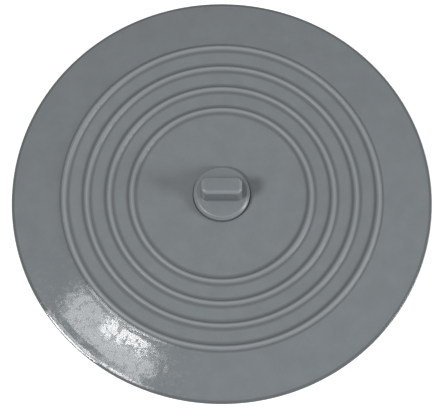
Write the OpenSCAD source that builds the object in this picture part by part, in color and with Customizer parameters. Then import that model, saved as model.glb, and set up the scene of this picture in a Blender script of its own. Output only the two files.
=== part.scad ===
// Flat sink and tub stopper: a soft ribbed sealing disc with a pull knob snapped into its centre.
// The disc lies over the drain on the flat face of its lip. Z = 0 is the surface it seals
// against, the Z axis runs up through the knob, and the knob's finger bar lies along X.

/* [Sealing disc] */
// Outside diameter over the rounded lip
disc_d = 150; // [140:1:160]
// Height of the raised flat top above the sink
top_h = 4.5; // [4.2:0.1:5.5]
// Thickness of the rubber under the raised flat top
top_wall = 2.8; // [2.4:0.1:3.2]
// Thickness of the round edge of the lip
lip_d = 1; // [0.9:0.1:1.8]
// Drop from the flat top to the start of the flange, at the foot of the outermost rib
flange_drop = 0.25; // [0.1:0.05:0.5]
// Width of the flat face under the lip that seals on the sink
seat_w = 3.8; // [2:0.1:5]

/* [Ribs on top] */
// Number of concentric ribs
rib_count = 4; // [1:1:4]
// Diameter of the innermost rib, over its crest
rib_inner_d = 64; // [40:1:66]
// Spacing of the ribs, from crest to crest
rib_pitch = 8; // [5:0.5:8]
// Width of a rib where it meets the flat top
rib_w = 2.4; // [1.6:0.1:2.8]
// Height of a rib above the flat top
rib_h = 0.75; // [0.6:0.05:1]

/* [Seals underneath] */
// Number of concentric seals inside the lip
seal_count = 2; // [1:1:2]
// Diameter of the innermost seal
seal_inner_d = 60; // [40:1:64]
// Spacing of the seals, from foot to foot
seal_pitch = 16; // [8:1:18]
// Width of a seal where it meets the underside
seal_w = 2.6; // [2:0.1:3.4]
// Gap left between a seal's foot and the sink, so that the lip seals first
seal_gap = 0.3; // [0.2:0.05:0.5]

/* [Pull knob] */
// Diameter of the round button that lies in the disc's shallow seat
button_d = 20; // [18:0.2:24]
// Height of the button's edge above the flat top
button_h = 2.4; // [1.5:0.1:3.4]
// Rise of the button's domed top, from its edge to its middle
dome_h = 0.5; // [0.3:0.1:1]
// Rounding of the button's upper rim
button_round = 0.8; // [0.3:0.1:1.2]
// Length of the finger bar across the button
bar_l = 14.4; // [10:0.2:16]
// Thickness of the finger bar between finger and thumb
bar_w = 6.2; // [5:0.2:8]
// Height of the finger bar above the button
bar_h = 7.9; // [5:0.1:12]
// Rounding of the finger bar's upright corners
bar_corner_r = 2; // [1.2:0.1:2.4]
// Rounding of the finger bar's top edges
bar_round = 1.2; // [0.5:0.1:1.2]
// Diameter of the neck that passes through the disc
neck_d = 7; // [5:0.5:9]
// Diameter of the head that snaps through under the disc
head_d = 13; // [11:0.5:14]
// Diameter of the leading end of that head
head_tip_d = 10; // [8:0.5:11]

/* [Hub of the disc] */
// Depth of the shallow seat that the button lies in
seat_depth = 0.4; // [0.2:0.1:0.5]
// Gap round the button in its seat
seat_gap = 0.3; // [0.2:0.1:1]
// Thickness of the web gripped between the knob's button and its head
web_t = 1.2; // [1:0.1:1.3]
// Diameter of the recess that holds the knob's head under the web
recess_d = 14.4; // [14.2:0.1:17]

/* [Hidden] */
$fn = 160;
// Facets round the small corners of the finger bar
bar_fn = 24;
// Gap round the neck in its hole
neck_gap = 0.05;
// How far one solid runs into another so that they join without a seam
joint_lap = 0.5;
disc_r = disc_d / 2;
lip_r = lip_d / 2;
// Height of the middle of the lip's round edge, a little low so that its foot is cut flat
lip_mid_h = lip_r * 0.94;
// Height of the flange's face at the lip, just inside the round edge
flange_edge_h = lip_mid_h + lip_r - 0.02;
// Underside of the raised top
ceiling_h = top_h - top_wall;
// Crest of the outermost rib, where the flat top ends, and the foot of its outer side
top_r = rib_r(rib_count - 1);
flange_in_r = top_r + rib_w / 2;
// Inner edge of the flat face under the lip
seat_in_r = disc_r - lip_r - seat_w;
// The floor of the button's seat, and the underside of the web below it
seat_h = top_h - seat_depth;
web_low_h = seat_h - web_t;
// Upright edge of the head that catches under the web
head_edge_h = 0.4;
// The edge and the middle of the button's top, and the radius of its dome
button_edge_h = top_h + button_h;
button_top_h = button_edge_h + dome_h;
dome_edge_r = button_d / 2 - button_round;
dome_r = (dome_edge_r ^ 2 + dome_h ^ 2) / (2 * dome_h);
bar_top_h = button_top_h + bar_h;
grey = [0.48, 0.50, 0.51];

// Radius of rib number i, counted outwards from 0
function rib_r(i) = rib_inner_d / 2 + i * rib_pitch;

// Radius of seal number i, counted outwards from 0
function seal_r(i) = seal_inner_d / 2 + i * seal_pitch;

// Radius of the round whose cap is w wide and h high
function cap_r(w, h) = (h * h + w * w / 4) / (2 * h);

// A round ridge in section, w wide and h high on a level face, pointing up at up = 1 or down at -1
module ridge(r, face_h, w, h, up) {
    round_r = cap_r(w, h);
    translate([r, face_h + up * (h - round_r)]) circle(r = round_r);
}

// The sheet of rubber: raised top, sloping flange and the flat foot under the lip
module sheet_section() {
    polygon([
        [0, top_h],
        [top_r, top_h],
        [flange_in_r, top_h - flange_drop],
        [disc_r - lip_r, flange_edge_h],
        [disc_r - lip_r, 0],
        [seat_in_r, 0],
        [flange_in_r, ceiling_h],
        [0, ceiling_h]
    ]);
}

// The round free edge of the lip, with its foot cut flat on the sink
module lip_section() {
    intersection() {
        translate([disc_r - lip_r, lip_mid_h]) circle(r = lip_r);
        translate([disc_r - lip_d, 0]) square([lip_d, lip_d]);
    }
}

// The whole disc before its hub is cut
module disc_blank() {
    rotate_extrude() sheet_section();
    rotate_extrude() lip_section();
    for (i = [0 : rib_count - 1]) {
        rotate_extrude() ridge(rib_r(i), top_h, rib_w, rib_h, 1);
    }
    for (i = [0 : seal_count - 1]) {
        rotate_extrude() ridge(seal_r(i), ceiling_h, seal_w, ceiling_h - seal_gap, -1);
    }
}

// The seat for the button, the hole for the neck, and the recess for the head under the web
module hub_cut() {
    translate([0, 0, -joint_lap]) cylinder(d = recess_d, h = web_low_h + joint_lap);
    cylinder(d = neck_d + 2 * neck_gap, h = top_h);
    translate([0, 0, seat_h]) cylinder(d = button_d + 2 * seat_gap, h = seat_depth + joint_lap);
}

module seal_disc() {
    color(grey) difference() {
        disc_blank();
        hub_cut();
    }
}

// The domed top of the button
module dome_section() {
    intersection() {
        translate([0, button_top_h - dome_r]) circle(r = dome_r);
        translate([0, button_edge_h - button_round]) square([dome_edge_r, dome_h + button_round]);
    }
}

// Button, neck and snap-in head, turned about the knob's axis
module knob_section() {
    dome_section();
    translate([0, seat_h]) square([button_d / 2, seat_depth + button_h - button_round]);
    translate([dome_edge_r, button_edge_h - button_round]) circle(r = button_round);
    translate([0, web_low_h - joint_lap]) square([neck_d / 2, web_t + 2 * joint_lap]);
    polygon([
        [0, ceiling_h],
        [head_tip_d / 2, ceiling_h],
        [head_d / 2, web_low_h - head_edge_h],
        [head_d / 2, web_low_h],
        [0, web_low_h]
    ]);
}

// A quarter of the finger bar's corners: an upright rod with a rounded top edge
module bar_corner() {
    translate([bar_l / 2 - bar_corner_r, bar_w / 2 - bar_corner_r, 0]) {
        translate([0, 0, button_edge_h - joint_lap])
            cylinder(r = bar_corner_r, h = joint_lap, $fn = bar_fn);
        translate([0, 0, bar_top_h - bar_round])
            rotate_extrude($fn = bar_fn) intersection() {
                translate([bar_corner_r - bar_round, 0]) circle(r = bar_round, $fn = bar_fn);
                square(bar_corner_r);
            }
    }
}

module finger_bar() {
    hull() {
        for (x = [0, 1], y = [0, 1]) mirror([x, 0, 0]) mirror([0, y, 0]) bar_corner();
    }
}

module pull_knob() {
    color(grey) union() {
        rotate_extrude() knob_section();
        finger_bar();
    }
}

seal_disc();
pull_knob();
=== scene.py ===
import math

import bmesh
import bpy
import numpy as np
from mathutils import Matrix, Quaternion, Vector


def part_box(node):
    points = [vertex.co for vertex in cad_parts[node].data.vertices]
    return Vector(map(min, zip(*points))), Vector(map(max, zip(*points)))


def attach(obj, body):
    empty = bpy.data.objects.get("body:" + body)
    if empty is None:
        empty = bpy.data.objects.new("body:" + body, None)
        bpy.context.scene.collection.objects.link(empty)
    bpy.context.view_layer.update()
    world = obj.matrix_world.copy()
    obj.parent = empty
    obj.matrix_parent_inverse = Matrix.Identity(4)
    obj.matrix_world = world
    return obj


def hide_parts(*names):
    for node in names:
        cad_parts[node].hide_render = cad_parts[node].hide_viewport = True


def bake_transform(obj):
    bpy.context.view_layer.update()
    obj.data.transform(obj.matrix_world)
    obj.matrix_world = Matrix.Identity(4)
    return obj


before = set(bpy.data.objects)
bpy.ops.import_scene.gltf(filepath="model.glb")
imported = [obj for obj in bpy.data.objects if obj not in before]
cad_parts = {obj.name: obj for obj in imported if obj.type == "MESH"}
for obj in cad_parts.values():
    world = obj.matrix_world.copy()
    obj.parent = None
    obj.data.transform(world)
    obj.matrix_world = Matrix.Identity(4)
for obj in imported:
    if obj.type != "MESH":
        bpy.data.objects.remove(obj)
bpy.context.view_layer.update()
mm = 0.001

# ---------------------------------------------------------------------------------------------
# Sealing disc.
# One moulding of soft grey silicone rubber: a flat raised top with concentric half-round ribs, a
# slightly domed flange that slopes down outside them, and a thin round lip that lies on the sink.
# Pressed in a two-part mould, so every corner is a little round.
# ---------------------------------------------------------------------------------------------
disc_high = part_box("seal_disc")[1]
knob_low, knob_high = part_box("pull_knob")
disc_r = disc_high[0]
rib_h = 0.75 * mm
rib_base_w = 2.4 * mm
rib_crest_w = 0.9 * mm
rib_crest_round = 1.1 * mm
rib_foot_round = 0.12 * mm
rib_count = 4
rib_inner_r = 32 * mm
rib_pitch = 8 * mm
top_h = disc_high[2] - rib_h
# The underside of the raised top is level with the leading end of the knob's head
ceiling_h = knob_low[2]
flange_in_r = rib_inner_r + (rib_count - 1) * rib_pitch + rib_base_w / 2
flange_in_h = top_h - 0.2 * mm
flange_in_round = 0.08 * mm
# Radius, height and rounding of each corner down the flange, from the ribs to the lip
flange_profile = [
    (58.05 * mm, 4.13 * mm, 3 * mm),
    (59.4 * mm, 3.9 * mm, 20 * mm),
    (65 * mm, 2.84 * mm, 100 * mm),
    (69.4 * mm, 1.94 * mm, 60 * mm),
    (70.9 * mm, 1.61 * mm, 12 * mm),
    (73.2 * mm, 1.06 * mm, 1.5 * mm),
    (74.2 * mm, 0.88 * mm, 0.4 * mm),
]
# The rubber below this height stays down on the sink when the middle moves
lip_edge_h = 0.6 * mm
lip_round = 0.4 * mm
foot_in_r = disc_r - 4.4 * mm
foot_round = 0.3 * mm
ceiling_round = 2 * mm
# Two low seals underneath stop just short of the sink
seal_radii = (30 * mm, 46 * mm)
seal_w = 2.6 * mm
seal_foot_w = 1.0 * mm
seal_foot_h = 0.3 * mm
seal_round = 0.2 * mm
seal_foot_round = 0.5 * mm
seat_r = knob_high[0] + 0.3 * mm
seat_h = top_h - 0.4 * mm
seat_rim_round = 0.05 * mm
# The hole takes the knob's neck, and the recess under the web takes its head
hole_r = 3.55 * mm
hole_round = 0.1 * mm
recess_r = 7.2 * mm
recess_round = 0.15 * mm
web_low_h = seat_h - 1.2 * mm
longest_step = 1.3 * mm
disc_steps = 360
disc_edge_round = 0.4 * mm
disc_edge_passes = 2
# Points closer than this are the same point
weld_gap = 0.0001 * mm


def ridge(r, face_h, peak_h, base_w, peak_w, foot_round, peak_round):
    """Corners of a ridge round the disc at radius r, from its inner foot to its outer foot."""
    return [
        (r - base_w / 2, face_h, foot_round),
        (r - peak_w / 2, peak_h, peak_round),
        (r + peak_w / 2, peak_h, peak_round),
        (r + base_w / 2, face_h, foot_round),
    ]


def rounded(corners, arc_steps=5, share=0.48):
    """The closed outline through corners (r, z, rounding), with an arc at each rounded corner."""
    outline = []
    for i, (r, z, radius) in enumerate(corners):
        here = Vector((r, z))
        before = Vector(corners[i - 1][:2]) - here
        after = Vector(corners[(i + 1) % len(corners)][:2]) - here
        half = before.angle(after) / 2
        if radius == 0:
            outline.append(here)
            continue
        room = share * min(before.length, after.length)
        reach = min(radius / math.tan(half), room)
        start = here + before.normalized() * reach
        end = here + after.normalized() * reach
        bisector = (before.normalized() + after.normalized()).normalized()
        centre = here + bisector * (reach / math.cos(half))
        arm_a = start - centre
        arm_b = end - centre
        sweep = arm_a.angle(arm_b)
        for k in range(arc_steps + 1):
            t = k / arc_steps
            a = math.sin((1 - t) * sweep) / math.sin(sweep)
            b = math.sin(t * sweep) / math.sin(sweep)
            outline.append(centre + arm_a * a + arm_b * b)
    return outline


def spaced(outline, longest):
    """The closed outline with points added until no stretch of it is longer than longest."""
    points = []
    for i, p in enumerate(outline):
        q = outline[(i + 1) % len(outline)]
        parts = max(1, math.ceil((q - p).length / longest))
        points += [p.lerp(q, k / parts) for k in range(parts)]
    return points


def turned(name, outline, steps):
    """A mesh object made by turning a closed outline of (r, z) about the Z axis."""
    shape = bmesh.new()
    rings = []
    for k in range(steps):
        turn = 2 * math.pi * k / steps
        c, s = math.cos(turn), math.sin(turn)
        rings.append([shape.verts.new((p[0] * c, p[0] * s, p[1])) for p in outline])
    for k in range(steps):
        ring, following = rings[k], rings[(k + 1) % steps]
        for i in range(len(outline)):
            j = (i + 1) % len(outline)
            shape.faces.new((ring[i], ring[j], following[j], following[i]))
    bmesh.ops.remove_doubles(shape, verts=shape.verts, dist=weld_gap)
    bmesh.ops.recalc_face_normals(shape, faces=shape.faces)
    mesh = bpy.data.meshes.new(name)
    shape.to_mesh(mesh)
    shape.free()
    piece = bpy.data.objects.new(name, mesh)
    bpy.context.scene.collection.objects.link(piece)
    mesh.shade_smooth()
    return piece


def mark_surface(mesh, full_round, passes):
    """Stores each point's place at rest, and how the surface bends there: 1 edge, -1 crease."""
    count = len(mesh.vertices)
    place = np.empty(count * 3)
    mesh.vertices.foreach_get("co", place)
    place = place.reshape(-1, 3)
    normal = np.empty(count * 3, np.float32)
    mesh.vertex_normals.foreach_get("vector", normal)
    normal = normal.reshape(-1, 3)
    ends = np.empty(len(mesh.edges) * 2, np.int64)
    mesh.edges.foreach_get("vertices", ends)
    near, far = ends.reshape(-1, 2).T
    along = place[far] - place[near]
    length = np.linalg.norm(along, axis=1)
    convex = np.zeros(count)
    hollow = np.zeros(count)
    for at, way in ((near, along), (far, -along)):
        bend = -2 * np.einsum("ij,ij->i", normal[at], way) / length**2
        np.maximum.at(convex, at, bend)
        np.minimum.at(hollow, at, bend)
    edge = np.clip((convex + hollow) * full_round, -1, 1)
    weight = 1 / length
    for _ in range(passes):
        total = np.zeros(count)
        share = np.zeros(count)
        for at, other in ((near, far), (far, near)):
            np.add.at(total, at, edge[other] * weight)
            np.add.at(share, at, weight)
        edge = (edge + total / share) / 2
    stored = mesh.attributes.new("edge", "FLOAT", "POINT")
    stored.data.foreach_set("value", edge.astype(np.float32))
    at_rest = mesh.attributes.new("place_at_rest", "FLOAT_VECTOR", "POINT")
    at_rest.data.foreach_set("vector", place.astype(np.float32).ravel())


corners = [
    (hole_r, seat_h, hole_round),
    (seat_r, seat_h, hole_round),
    (seat_r, top_h, seat_rim_round),
]
for i in range(rib_count):
    rib_r = rib_inner_r + i * rib_pitch
    corners += ridge(
        rib_r, top_h, disc_high[2], rib_base_w, rib_crest_w, rib_foot_round, rib_crest_round
    )
corners[-1] = (flange_in_r, flange_in_h, flange_in_round)
corners += flange_profile
corners += [
    (disc_r, lip_edge_h, lip_round),
    (disc_r, 0, lip_round),
    (foot_in_r, 0, foot_round),
    (flange_in_r, ceiling_h, ceiling_round),
]
for seal_r in reversed(seal_radii):
    foot = ridge(
        seal_r, ceiling_h, seal_foot_h, seal_w, seal_foot_w, seal_round, seal_foot_round
    )
    corners += reversed(foot)
corners += [
    (recess_r, ceiling_h, recess_round),
    (recess_r, web_low_h, recess_round),
    (hole_r, web_low_h, hole_round),
]
disc = turned("seal_disc_rubber", spaced(rounded(corners), longest_step), disc_steps)
mark_surface(disc.data, disc_edge_round, disc_edge_passes)


class Shade:
    """A socket in a material's nodes. Sums of shades and numbers add Math nodes."""

    def __init__(self, tree, socket=None):
        self.tree = tree
        self.socket = socket

    def node(self, kind, settings=None, output=0, **inputs):
        """A new node of this kind. Its settings are set first, then its sockets are set or linked."""
        made = self.tree.nodes.new("ShaderNode" + kind)
        for name, value in (settings or {}).items():
            setattr(made, name, value)
        for name, value in inputs.items():
            key = int(name[1:]) if name[0] == "_" else name.replace("_", " ")
            if isinstance(value, Shade):
                self.tree.links.new(value.socket, made.inputs[key])
            else:
                made.inputs[key].default_value = value
        return Shade(self.tree, made.outputs[output]) if made.outputs else None

    def math(self, operation, *terms):
        inputs = {f"_{i}": term for i, term in enumerate(terms)}
        return self.node("Math", {"operation": operation}, **inputs)

    def __add__(self, other):
        return self.math("ADD", self, other)

    def __mul__(self, other):
        return self.math("MULTIPLY", self, other)

    __radd__ = __add__
    __rmul__ = __mul__

    def ramp(self, low, high):
        """0 below low and 1 above high, smooth between them."""
        settings = {"interpolation_type": "SMOOTHSTEP"}
        return self.node("MapRange", settings, Value=self, From_Min=low, From_Max=high)

    def between(self, first, second):
        """The colour that is first where this is 0 and second where it is 1."""
        settings = {"data_type": "RGBA"}
        return self.node("Mix", settings, output=2, _0=self, _6=first, _7=second)


def silicone(name, grey, highlight, shade_grey, shaded_from_r, highlight_and_dull_h, dulling):
    """Silicone rubber: a painted highlight lightens raised edges, which also turn duller there;
    painted shade darkens creases and the rim past a set radius.
    """
    wave_scale, smear_scale, grain_scale = 160.0, 520.0, 3200.0
    smear_swirl = 0.6
    mottle = 0.045
    mottle_low, mottle_high = 0.35, 0.65
    faint_edge, full_edge = 0.1, 0.8
    rim_w = 0.7 * mm
    rim_shade = 0.95
    highlight_and_dull_rise = 0.2 * mm
    clean_roughness = 0.08
    smear_roughness = 0.12
    smear_low, smear_high = 0.55, 0.6
    smear_height, grain_height = 0.2, 0.02
    bump_strength = 0.5
    bump_depth = 0.12 * mm
    silicone_ior = 1.41
    material = bpy.data.materials.new(name)
    material.use_nodes = True
    tree = material.node_tree
    tree.nodes.clear()
    new = Shade(tree)
    place = new.node("Attribute", {"attribute_name": "place_at_rest"}, output=1)
    edge = new.node("Attribute", {"attribute_name": "edge"}, output=2)
    waves = new.node("TexNoise", Vector=place, Scale=wave_scale, Detail=2.0)
    smears = new.node(
        "TexNoise", Vector=place, Scale=smear_scale, Detail=3.0, Distortion=smear_swirl
    )
    grain = new.node("TexNoise", Vector=place, Scale=grain_scale, Detail=2.0)
    light_grey = [c * (1 + mottle) for c in grey] + [1]
    dark_grey = [c * (1 - mottle) for c in grey] + [1]
    cloud = waves * 0.5 + grain * 0.5
    mottled = cloud.ramp(mottle_low, mottle_high).between(dark_grey, light_grey)
    level = new.node("SeparateXYZ", output=2, Vector=place)
    high = level.ramp(highlight_and_dull_h, highlight_and_dull_h + highlight_and_dull_rise)
    # Painted highlight: ridge crests and rounded edges above a set height are lightened to stand for
    # the light they catch.
    highlighted = (edge.ramp(faint_edge, full_edge) * high).between(mottled, highlight + [1])
    # Painted shade: creases are darkened where shade falls.
    crease_shaded = (edge * -1).ramp(faint_edge, full_edge).between(highlighted, shade_grey + [1])
    flat_place = new.node("VectorMath", {"operation": "MULTIPLY"}, _0=place, _1=(1, 1, 0))
    radius = new.node("VectorMath", {"operation": "LENGTH"}, output=1, _0=flat_place)
    # Painted shade: past a set radius the colour turns dark, which draws a dark outline round the
    # edge.
    rim_shaded = radius.ramp(shaded_from_r, shaded_from_r + rim_w)
    colour = rim_shaded.between(crease_shaded, [c * rim_shade for c in shade_grey] + [1])
    smeared = smears.ramp(smear_low, smear_high) * smear_roughness
    raised = level.ramp(highlight_and_dull_h - highlight_and_dull_rise, highlight_and_dull_h)
    roughness = clean_roughness + smeared + raised * dulling
    height = waves + smears * smear_height + grain * grain_height
    bump = new.node("Bump", Strength=bump_strength, Distance=bump_depth, Height=height)
    skin = new.node(
        "BsdfPrincipled", Base_Color=colour, Roughness=roughness, Normal=bump, IOR=silicone_ior
    )
    new.node("OutputMaterial", Surface=skin)
    return material


# The rubber's grey, then a lighter grey painted on edges as a highlight, then a darker grey painted
# in creases and round the rim as shade.
rubber_grey = [0.178, 0.1945, 0.2058]
highlight_grey = [0.247, 0.269, 0.283]
painted_shade_grey = [0.125, 0.136, 0.143]
# Painted shade darkens the last 1.4 mm out to the lip's edge into an outline.
lip_shaded_from_r = disc_r - 1.4 * mm
# Rib tops above this height get the painted highlight and a duller surface.
rib_highlight_and_dull_h = top_h + 0.03 * mm
top_dulling = 0.35
disc_rubber = silicone(
    "grey_silicone_disc",
    rubber_grey,
    highlight_grey,
    painted_shade_grey,
    shaded_from_r=lip_shaded_from_r,
    highlight_and_dull_h=rib_highlight_and_dull_h,
    dulling=top_dulling,
)
disc.data.materials.append(disc_rubber)
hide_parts("seal_disc")
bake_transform(disc)

# ---------------------------------------------------------------------------------------------
# Pull knob.
# A small moulding of the same rubber: a round button with a domed top and a finger bar across it.
# Its neck goes through the middle of the disc and a head under the disc's web keeps it there.
# ---------------------------------------------------------------------------------------------
button_r = knob_high[0]
button_top_h = top_h + 2.9 * mm
button_edge_h = top_h + 2.4 * mm
button_edge_r = button_r - 0.9 * mm
button_rim_round = 0.8 * mm
button_side_h = button_edge_h - 0.7 * mm
button_side_round = 0.6 * mm
button_foot_round = 0.15 * mm
dome_steps = 8
bar_l = 14.4 * mm
bar_w = 6.2 * mm
bar_floor_h = button_edge_h - 0.4 * mm
bar_round = 1.2 * mm
bar_round_steps = 6
bar_corner_round = 2.0 * mm
bar_corner_steps = 8
half_round = 0.5
neck_r = 3.5 * mm
neck_round = 0.05 * mm
head_r = 6.5 * mm
head_round = 0.2 * mm
head_tip_r = 5.0 * mm
head_tip_round = 0.5 * mm
knob_longest_step = 0.6 * mm
knob_steps = 120
skin_voxel = 0.16 * mm
skin_smoothing = 0.5
skin_passes = 6
knob_edge_round = 0.5 * mm
knob_edge_passes = 6

knob_corners = []
for k in range(dome_steps):
    part = k / dome_steps
    dome_h = button_top_h + (button_edge_h - button_top_h) * part**2
    knob_corners.append((button_edge_r * part, dome_h, 0))
knob_corners += [
    (button_edge_r, button_edge_h, button_rim_round),
    (button_r, button_side_h, button_side_round),
    (button_r, seat_h, button_foot_round),
    (neck_r, seat_h, neck_round),
    (neck_r, web_low_h, neck_round),
    (head_r, web_low_h, head_round),
    (head_tip_r, ceiling_h, head_tip_round),
    (0, ceiling_h, 0),
]
knob = turned("pull_knob_rubber", spaced(rounded(knob_corners), knob_longest_step), knob_steps)

bar_shape = bmesh.new()
bmesh.ops.create_cube(bar_shape, size=1)
bmesh.ops.scale(bar_shape, vec=(bar_l, bar_w, knob_high[2] - bar_floor_h), verts=bar_shape.verts)
middle_h = (knob_high[2] + bar_floor_h) / 2
bmesh.ops.translate(bar_shape, vec=(0, 0, middle_h), verts=bar_shape.verts)
upright = [e for e in bar_shape.edges if e.verts[0].co.xy == e.verts[1].co.xy]
bmesh.ops.bevel(
    bar_shape,
    geom=upright,
    offset=bar_corner_round,
    segments=bar_corner_steps,
    profile=half_round,
    affect="EDGES",
)
raised = [e for e in bar_shape.edges if min(v.co.z for v in e.verts) > middle_h]
bmesh.ops.bevel(
    bar_shape,
    geom=raised,
    offset=bar_round,
    segments=bar_round_steps,
    profile=half_round,
    affect="EDGES",
)
bar_mesh = bpy.data.meshes.new("finger_bar")
bar_shape.to_mesh(bar_mesh)
bar_shape.free()
bar = bpy.data.objects.new("finger_bar", bar_mesh)
bpy.context.scene.collection.objects.link(bar)

joined = knob.modifiers.new("join", "BOOLEAN")
joined.operation = "UNION"
joined.solver = "EXACT"
joined.object = bar
remesh = knob.modifiers.new("skin", "REMESH")
remesh.mode = "VOXEL"
remesh.voxel_size = skin_voxel
remesh.use_smooth_shade = True
smooth = knob.modifiers.new("mould_rounding", "SMOOTH")
smooth.factor = skin_smoothing
smooth.iterations = skin_passes
settled = bpy.data.meshes.new_from_object(
    knob.evaluated_get(bpy.context.evaluated_depsgraph_get())
)
knob.modifiers.clear()
knob.data = settled
bpy.data.objects.remove(bar)
settled.shade_smooth()
mark_surface(settled, knob_edge_round, knob_edge_passes)
# Lighter grey painted on the knob's rounded edges as a highlight.
knob_highlight_grey = [0.25, 0.272, 0.286]
knob_dulling = 0.22
knob_rubber = silicone(
    "grey_silicone_knob",
    rubber_grey,
    knob_highlight_grey,
    painted_shade_grey,
    # Painted shade round the rim starts only past the button's own radius.
    shaded_from_r=button_r,
    highlight_and_dull_h=seat_h,
    dulling=knob_dulling,
)
settled.materials.append(knob_rubber)
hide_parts("pull_knob")
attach(knob, "knob")

# ---------------------------------------------------------------------------------------------
# Table, lights and camera.
# A plain white table top under soft studio light: a pale room, a tall window and a lamp high on
# the left, which show in the flange, and one soft light on each side, which shape the knob.
# ---------------------------------------------------------------------------------------------
table_half = 6.0
table_shape = bmesh.new()
bmesh.ops.create_grid(table_shape, x_segments=1, y_segments=1, size=table_half)
table_mesh = bpy.data.meshes.new("table_top")
table_shape.to_mesh(table_mesh)
table_shape.free()
table_top = bpy.data.objects.new("table_top", table_mesh)
bpy.context.scene.collection.objects.link(table_top)
white = bpy.data.materials.new("white_table")
white.use_nodes = True
white_nodes = Shade(white.node_tree)
white.node_tree.nodes.clear()
paint_scale = 30.0
paint_roughness = 0.8
paint_glow = 0.35
paint_dark = [0.94, 0.94, 0.94, 1]
paint_light = [0.96, 0.96, 0.96, 1]
patches = white_nodes.node("TexNoise", Scale=paint_scale, Detail=2.0)
paint = patches.between(paint_dark, paint_light)
board = white_nodes.node(
    "BsdfPrincipled",
    Base_Color=paint,
    Roughness=paint_roughness,
    Emission_Color=paint,
    Emission_Strength=paint_glow,
)
white_nodes.node("OutputMaterial", Surface=board)
table_mesh.materials.append(white)

room_light = 0.235
room = bpy.data.worlds.new("pale_room")
room.use_nodes = True
bpy.context.scene.world = room
walls = room.node_tree.nodes["Background"]
walls.inputs["Color"].default_value = (1, 1, 1, 1)
walls.inputs["Strength"].default_value = room_light


def softbox(name, azimuth, elevation, distance, size, radiance, roll=0):
    """A soft light that looks at the object from azimuth, counted from +X towards +Y."""
    a, e = math.radians(azimuth), math.radians(elevation)
    away = Vector((math.cos(a) * math.cos(e), math.sin(a) * math.cos(e), math.sin(e)))
    data = bpy.data.lights.new(name, "AREA")
    data.shape = "RECTANGLE"
    data.size, data.size_y = size
    data.energy = radiance * math.pi * size[0] * size[1]
    light = bpy.data.objects.new(name, data)
    light.location = away * distance
    turn = Quaternion((0, 0, 1), math.radians(roll))
    light.rotation_euler = (away.to_track_quat("Z", "Y") @ turn).to_euler()
    bpy.context.scene.collection.objects.link(light)


softbox(
    "window",
    azimuth=197.1,
    elevation=71.3,
    distance=2.4,
    size=(0.73, 0.305),
    radiance=9,
    roll=26,
)
softbox(
    "lamp",
    azimuth=198.2,
    elevation=74.3,
    distance=2.3,
    size=(0.31, 0.075),
    radiance=19,
    roll=36,
)
softbox("left_light", azimuth=204, elevation=50, distance=2.4, size=(0.55, 0.55), radiance=36)
softbox("right_light", azimuth=-16, elevation=23, distance=2.4, size=(0.8, 0.8), radiance=19)

camera_data = bpy.data.cameras.new("camera")
camera_data.lens = 166.75
camera_data.sensor_width = 36
camera = bpy.data.objects.new("camera", camera_data)
bpy.context.scene.collection.objects.link(camera)
bpy.context.scene.camera = camera
camera_distance = 0.73
camera_elevation = math.radians(72)
aim_offset = Vector((0.09 * mm, -5.66 * mm, 0))
rib_plane_centre = Vector((0, 0, disc_high[2]))
towards_camera = Vector((0, -math.cos(camera_elevation), math.sin(camera_elevation)))
camera.location = rib_plane_centre + towards_camera * camera_distance
aim = rib_plane_centre + aim_offset
camera.rotation_mode = "QUATERNION"
camera.rotation_quaternion = (camera.location - aim).to_track_quat("Z", "Y")
bpy.context.scene.view_settings.view_transform = "Standard"
